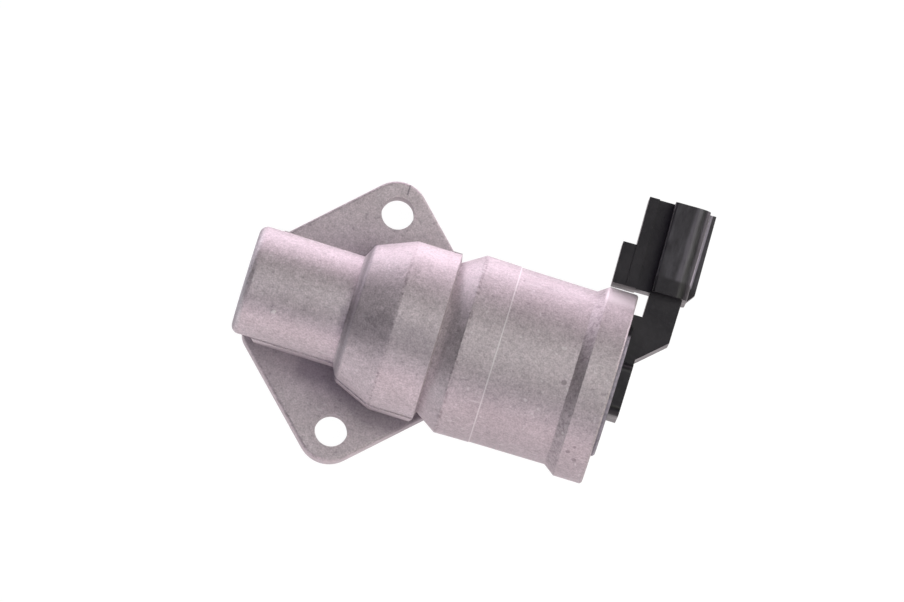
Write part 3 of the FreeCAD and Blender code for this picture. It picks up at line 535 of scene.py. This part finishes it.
def black_moulding(name):
    """Black nylon, scuffed along the plug's shell, with painted highlights along the shell and on
    the disc's edge.
    """
    settings = bpy.context.scene.valve_moulding
    shader = Shader(name)
    cloud = shader.noise(5 * MM, detail=4.0)
    mottle = shader.noise(1.1 * MM)
    base = shader.mix(shader.ramp(cloud, (0.4, 0.0), (0.75, 1.0)), settings.colour,
                      settings.dust_colour)
    base = shader.mix(shader.ramp(mottle, (0.5, 0.0), (0.8, 0.6)), base, settings.dust_colour)

    shell = shader.times(shader.rise(shader.axis("X"), *SHELL_START[0]),
                         shader.rise(shader.axis("Y"), *SHELL_START[1]))
    scuffs = shader.streaks(shader.stretched((900, 240, 500)), detail=3.0)
    scuffed = shader.times(shell, shader.ramp(scuffs, (0.3, 0.12), (0.7, 1.0)))
    base = shader.mix(scuffed, base, settings.scuff_colour)
    # Painted highlights: a band on the shell's front and a line along its edge
    for line, strength in ((SHELL_STREAK, 0.16), (SHELL_EDGE, 0.8)):
        painted_highlight = shader.times(shader.band("X", *line), shell, strength)
        base = shader.mix(painted_highlight, base, settings.painted_highlight_colour)

    # Painted highlight on the disc's edge
    radius = shader.radius()
    painted_highlight = shader.times(
        shader.rise(radius, *DISC_EDGE_INNER), shader.fade(radius, *DISC_EDGE_OUTER),
        shader.ramp(mottle, (0.3, 0.45), (0.6, 0.8)), shader.band("X", *DISC_EDGE),
        shader.fade(shader.axis("Y"), *DISC_EDGE_END_Y))
    shader.join(shader.mix(painted_highlight, base, settings.painted_highlight_colour), "Base Color")
    shader.surface.inputs["Specular IOR Level"].default_value = settings.gloss
    shader.join(shader.ramp(cloud, (0.3, 0.28), (0.7, 0.42)), "Roughness")
    skin = shader.bump(mottle, 0.02 * MM)
    fine = shader.noise(0.22 * MM, detail=2.0)
    shader.join(shader.bump(fine, 0.008 * MM, below=skin), "Normal")
    return shader.material


def bobbin_nylon(name):
    """A pale injection moulding with a finely textured skin and a little dust."""
    shader = Shader(name)
    cloud = shader.noise(6 * MM, detail=4.0)
    dusty = [channel * 1.5 + 0.006 for channel in NYLON]
    base = shader.mix(shader.ramp(cloud, (0.4, 0.0), (0.75, 1.0)), NYLON, dusty)
    shader.join(base, "Base Color")
    shader.join(shader.ramp(cloud, (0.3, 0.45), (0.7, 0.6)), "Roughness")
    fine = shader.noise(0.25 * MM, detail=2.0)
    shader.join(shader.bump(fine, 0.006 * MM), "Normal")
    return shader.material


def turned_metal(name, colour, roughness):
    """Turned or ground metal with fine lathe lines round the valve's axis."""
    shader = Shader(name)
    lines = shader.streaks(shader.stretched((9000, 300, 300)), detail=2.0)
    cloud = shader.noise(4 * MM)
    worn = [channel * 0.78 for channel in colour]
    base = shader.mix(shader.ramp(cloud, (0.35, 0.0), (0.75, 1.0)), colour, worn)
    shader.join(base, "Base Color")
    shader.surface.inputs["Metallic"].default_value = 1.0
    shader.join(shader.ramp(lines, (0.3, roughness - 0.08), (0.7, roughness + 0.12)), "Roughness")
    shader.join(shader.bump(lines, 0.004 * MM), "Normal")
    return shader.material


def soft_rubber(name, colour):
    """Moulded rubber with a matt bloom."""
    shader = Shader(name)
    cloud = shader.noise(2 * MM, detail=4.0)
    bloom = [channel * 2 + 0.01 for channel in colour]
    base = shader.mix(shader.ramp(cloud, (0.45, 0.0), (0.8, 1.0)), colour, bloom)
    shader.join(base, "Base Color")
    shader.join(shader.ramp(cloud, (0.3, 0.55), (0.7, 0.75)), "Roughness")
    shader.join(shader.bump(shader.noise(0.3 * MM), 0.01 * MM), "Normal")
    return shader.material


MOULDED_AND_CAST = {
    "cast_aluminium": cast_aluminium,
    "black_moulding": black_moulding,
    "bobbin_nylon": bobbin_nylon,
}


def finish_for(slot):
    """The material of one of the record's slots, made once."""
    name = f"{slot}_finish"
    made = bpy.data.materials.get(name)
    if made:
        return made
    if slot in METALS:
        return turned_metal(name, *METALS[slot])
    if slot in RUBBERS:
        return soft_rubber(name, RUBBERS[slot])
    return MOULDED_AND_CAST[slot](name)


def paint(piece, slot):
    piece.data.materials.clear()
    piece.data.materials.append(finish_for(slot))


# Pieces


def merged_copy(node, name):
    """A copy of a CAD node with its loose triangles joined, free of its body."""
    make_active(frame["nodes"][node])
    bpy.ops.object.duplicate()
    piece = bpy.context.active_object
    piece.name = name
    piece.data.name = name
    del piece["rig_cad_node"]
    bpy.ops.object.parent_clear(type="CLEAR_KEEP_TRANSFORM")
    bpy.ops.object.mode_set(mode="EDIT")
    bpy.ops.mesh.select_all(action="SELECT")
    bpy.ops.mesh.remove_doubles(threshold=MERGE_DISTANCE)
    bpy.ops.object.mode_set(mode="OBJECT")
    bpy.ops.mesh.customdata_custom_splitnormals_clear()
    return piece


def round_ring(piece, place, radius, width):
    """Rounds the edge that runs round the axis at this place and radius."""
    make_active(piece)
    bpy.ops.object.mode_set(mode="EDIT")
    bpy.ops.mesh.select_mode(type="EDGE")
    bpy.ops.mesh.select_all(action="DESELECT")
    bpy.ops.object.mode_set(mode="OBJECT")
    points = piece.data.vertices
    for edge in piece.data.edges:
        ends = [points[index].co for index in edge.vertices]
        edge.select = all(
            abs(end.x - place) < SAME_PLACE
            and abs(math.hypot(end.y, end.z - AXIS_HEIGHT) - radius) < SAME_RADIUS
            for end in ends)
    bpy.ops.object.mode_set(mode="EDIT")
    bpy.ops.mesh.bevel(offset=width, segments=RING_SEGMENTS, affect="EDGES", clamp_overlap=True)
    bpy.ops.object.mode_set(mode="OBJECT")


def tighten_nose(piece):
    """Draws the broad round of the nose's end in to a smaller one."""
    face, radius, old, new = (value * MM for value in NOSE)
    for point in piece.data.vertices:
        along, side, up = point.co.x, point.co.y, point.co.z - AXIS_HEIGHT
        reach = math.hypot(side, up)
        beyond_round = along > face + old + SAME_PLACE
        if beyond_round or not radius - old - SAME_PLACE <= reach <= radius + SAME_PLACE:
            continue
        turn = math.atan2(max(0.0, reach - radius + old), max(0.0, face + old - along))
        point.co.x = face + new - new * math.cos(turn)
        scale = (radius - new + new * math.sin(turn)) / reach
        point.co.y = side * scale
        point.co.z = AXIS_HEIGHT + up * scale


def fill_foot(piece):
    """Fills the slit between the rim and the foot of the cap's arm."""
    rim_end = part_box("valve_housing")[1].x
    low, high = (Vector((rim_end + out * MM, side * MM, up * MM)) for out, side, up in FOOT_BLOCK)
    make_active(piece)
    bpy.ops.object.mode_set(mode="EDIT")
    bpy.ops.mesh.select_all(action="DESELECT")
    bpy.ops.mesh.primitive_cube_add(size=1.0, location=(low + high) / 2, scale=high - low)
    bpy.ops.object.mode_set(mode="OBJECT")


def soften(piece, width):
    """Rounds every edge sharper than the softening angle."""
    make_active(piece)
    bevel = piece.modifiers.new("Soften", "BEVEL")
    bevel.width = width
    bevel.segments = SOFTEN_SEGMENTS
    bevel.limit_method = "ANGLE"
    bevel.angle_limit = SOFTEN_ANGLE
    bevel.use_clamp_overlap = True
    bpy.ops.object.modifier_apply(modifier=bevel.name)


def smooth(piece):
    """Smooth shading up to the smoothing angle, with flat faces kept flat."""
    make_active(piece)
    bpy.ops.object.shade_smooth_by_angle(angle=SMOOTH_ANGLE)
    weighted = piece.modifiers.new("Even", "WEIGHTED_NORMAL")
    weighted.keep_sharp = True
    bpy.ops.object.modifier_apply(modifier=weighted.name)


def stand_for(piece, node, slot):
    """Paints a piece of the fixed body and lets it take a CAD node's place."""
    paint(piece, slot)
    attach(piece, FIXED_BODY)
    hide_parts(node)


class VALVE_OT_housing(Operator):
    """Dress the die-cast housing"""

    bl_idname = "valve.housing"
    bl_label = "Housing"

    def execute(self, context):
        piece = merged_copy("valve_housing", "housing_casting")
        tighten_nose(piece)
        for place, radius, width in RINGS:
            round_ring(piece, place * MM, radius * MM, width * MM)
        smooth(piece)
        stand_for(piece, "valve_housing", "cast_aluminium")
        return {"FINISHED"}


class VALVE_OT_end_cap(Operator):
    """Dress the black end cap"""

    bl_idname = "valve.end_cap"
    bl_label = "End cap"

    def execute(self, context):
        piece = merged_copy("end_cap", "cap_moulding")
        fill_foot(piece)
        soften(piece, context.scene.valve_moulding.edge_round)
        smooth(piece)
        stand_for(piece, "end_cap", "black_moulding")
        return {"FINISHED"}


class VALVE_OT_springs(Operator):
    """Make the two springs"""

    bl_idname = "valve.springs"
    bl_label = "Springs"

    def execute(self, context):
        for node in ("balance_spring", "return_spring"):
            piece = merged_copy(node, f"{node}_coil")
            bpy.ops.object.shade_smooth_by_angle(angle=COIL_SMOOTH_ANGLE)
            paint(piece, "spring_steel")
            if node == "balance_spring":
                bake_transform(piece)
            else:
                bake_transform(piece)
            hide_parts(node)
        return {"FINISHED"}


class VALVE_OT_inner_pieces(Operator):
    """Give every piece that is carried over its own finish"""

    bl_idname = "valve.inner_pieces"
    bl_label = "Inner pieces"

    def execute(self, context):
        for part in frame["record"]["subparts"]:
            node = frame["nodes"][part["node"]]
            if not node.hide_render:
                paint(node, part["material_slot"])
        return {"FINISHED"}


class VALVE_OT_studio(Operator):
    """Set the floor, the lamps, the world and the camera"""

    bl_idname = "valve.studio"
    bl_label = "Studio"

    def execute(self, context):
        settings = context.scene.valve_studio
        set_floor(settings)
        set_lamps(settings)
        set_world(context.scene)
        set_camera(settings)
        return {"FINISHED"}


# Studio


def set_floor(settings):
    """Pale paper under the valve, bright where it is seen or mirrored and clear from beneath."""
    deselect_all()
    bpy.ops.mesh.primitive_plane_add(size=FLOOR_SIZE, location=(0, 0, FLOOR_HEIGHT))
    floor = bpy.context.active_object
    floor.name = "floor"
    shader = Shader("floor_paper")
    shader.surface.inputs["Roughness"].default_value = 0.9
    shader.surface.inputs["Base Color"].default_value = (*settings.floor_colour, 1)
    path = shader.nodes.new("ShaderNodeLightPath")
    by_camera, by_mirror = path.outputs["Is Camera Ray"], path.outputs["Is Glossy Ray"]
    tint = shader.mix(by_camera, settings.mirrored_colour, (1, 1, 1))
    glow = shader.add("ShaderNodeEmission", Color=tint, Strength=FLOOR_GLOW)
    share = shader.times(shader.most(by_camera, by_mirror), FLOOR_GLOW_SHARE)
    above = mix_surfaces(shader, share, shader.surface, glow)
    clear = shader.nodes.new("ShaderNodeBsdfTransparent")
    side = shader.nodes.new("ShaderNodeNewGeometry")
    paper = mix_surfaces(shader, side.outputs["Backfacing"], above, clear)
    shader.links.new(paper.outputs[0], shader.nodes["Material Output"].inputs["Surface"])
    floor.data.materials.append(shader.material)


def mix_surfaces(tree, share, first, second):
    """A mix of two shader nodes, the share being that of the second."""
    mixer = tree.nodes.new("ShaderNodeMixShader")
    tree.links.new(share, mixer.inputs[0])
    tree.links.new(first.outputs[0], mixer.inputs[1])
    tree.links.new(second.outputs[0], mixer.inputs[2])
    return mixer


def add_lamp(name, place, facing, width, height, power):
    """A soft rectangular lamp; its power is given for red, green and blue."""
    aim = Vector(facing).to_track_quat("-Z", "Y").to_euler()
    bpy.ops.object.light_add(type="AREA", location=place, rotation=aim)
    lamp = bpy.context.active_object
    lamp.name = name
    lamp.data.shape = "RECTANGLE"
    lamp.data.size = width
    lamp.data.size_y = height
    lamp.data.energy = max(power)
    lamp.data.color = [share / max(power) for share in power]
    lamp.visible_camera = False


def set_lamps(settings):
    """Lamps over the valve and panels beside it."""
    for name, across, along, width, height, power in LAMPS:
        lean, turn = math.radians(across), math.radians(along)
        out = Vector((math.sin(turn), -math.sin(lean) * math.cos(turn),
                      math.cos(lean) * math.cos(turn)))
        power = [share * settings.lamp_power for share in power]
        add_lamp(name, LAMP_TARGET + out * LAMP_DISTANCE, -out, width, height, power)
    for name, place, width, height, power in PANELS:
        power = [share * settings.lamp_power for share in power]
        add_lamp(name, place, (0, 0, 1), width, height, power)


def set_world(scene):
    """Soft light all round, and plain white where the camera sees past the floor."""
    world = bpy.data.worlds.new("studio_world")
    scene.world = world
    world.use_nodes = True
    tree = world.node_tree
    soft = tree.nodes["Background"]
    soft.inputs["Color"].default_value = SOFT_LIGHT
    soft.inputs["Strength"].default_value = SOFT_LIGHT_STRENGTH
    white = tree.nodes.new("ShaderNodeBackground")
    white.inputs["Color"].default_value = (1, 1, 1, 1)
    white.inputs["Strength"].default_value = 1.0
    path = tree.nodes.new("ShaderNodeLightPath")
    mixer = mix_surfaces(tree, path.outputs["Is Camera Ray"], soft, white)
    tree.links.new(mixer.outputs[0], tree.nodes["World Output"].inputs["Surface"])


def set_camera(settings):
    """The camera looks down on the flange, leaning a little and rolled as the photograph is."""
    tilt = settings.camera_tilt
    roll = settings.camera_roll
    upwards = Vector((0, math.cos(tilt), math.sin(tilt)))
    backwards = Vector((0, -math.sin(tilt), math.cos(tilt)))
    sideways = Vector((1, 0, 0))
    right = sideways * math.cos(roll) + upwards * math.sin(roll)
    up = upwards * math.cos(roll) - sideways * math.sin(roll)
    centre = sideways * VIEW_CENTRE[0] + upwards * VIEW_CENTRE[1]
    turn = Matrix((right, up, backwards)).transposed().to_euler()
    place = centre + backwards * settings.camera_distance
    bpy.ops.object.camera_add(location=place, rotation=turn)
    camera = bpy.context.active_object
    camera.name = "camera"
    camera.data.lens = settings.camera_lens
    camera.data.sensor_width = SENSOR_WIDTH
    camera.data.clip_start = CLIP_START
    bpy.context.scene.camera = camera


class VALVE_PT_panel(Panel):
    """The valve's operators and settings"""

    bl_idname = "VALVE_PT_panel"
    bl_label = "Valve"
    bl_space_type = "VIEW_3D"
    bl_region_type = "UI"
    bl_category = "Valve"

    def draw(self, context):
        for operator in OPERATORS:
            self.layout.operator(operator.bl_idname)
        scene = context.scene
        for group in (scene.valve_casting, scene.valve_moulding, scene.valve_studio):
            for name in group.__annotations__:
                self.layout.prop(group, name)


OPERATORS = (VALVE_OT_housing, VALVE_OT_end_cap, VALVE_OT_springs, VALVE_OT_inner_pieces,
             VALVE_OT_studio)
CLASSES = (CastingSettings, MouldingSettings, StudioSettings, *OPERATORS, VALVE_PT_panel)


def register():
    for kind in CLASSES:
        bpy.utils.register_class(kind)
    bpy.types.Scene.valve_casting = PointerProperty(type=CastingSettings)
    bpy.types.Scene.valve_moulding = PointerProperty(type=MouldingSettings)
    bpy.types.Scene.valve_studio = PointerProperty(type=StudioSettings)


def unregister():
    del bpy.types.Scene.valve_studio
    del bpy.types.Scene.valve_moulding
    del bpy.types.Scene.valve_casting
    for kind in reversed(CLASSES):
        bpy.utils.unregister_class(kind)


def main():
    register()
    bpy.context.scene.view_settings.view_transform = "Standard"
    bpy.ops.valve.housing()
    bpy.ops.valve.end_cap()
    bpy.ops.valve.springs()
    bpy.ops.valve.inner_pieces()
    bpy.ops.valve.studio()


if __name__ == "__main__":
    main()
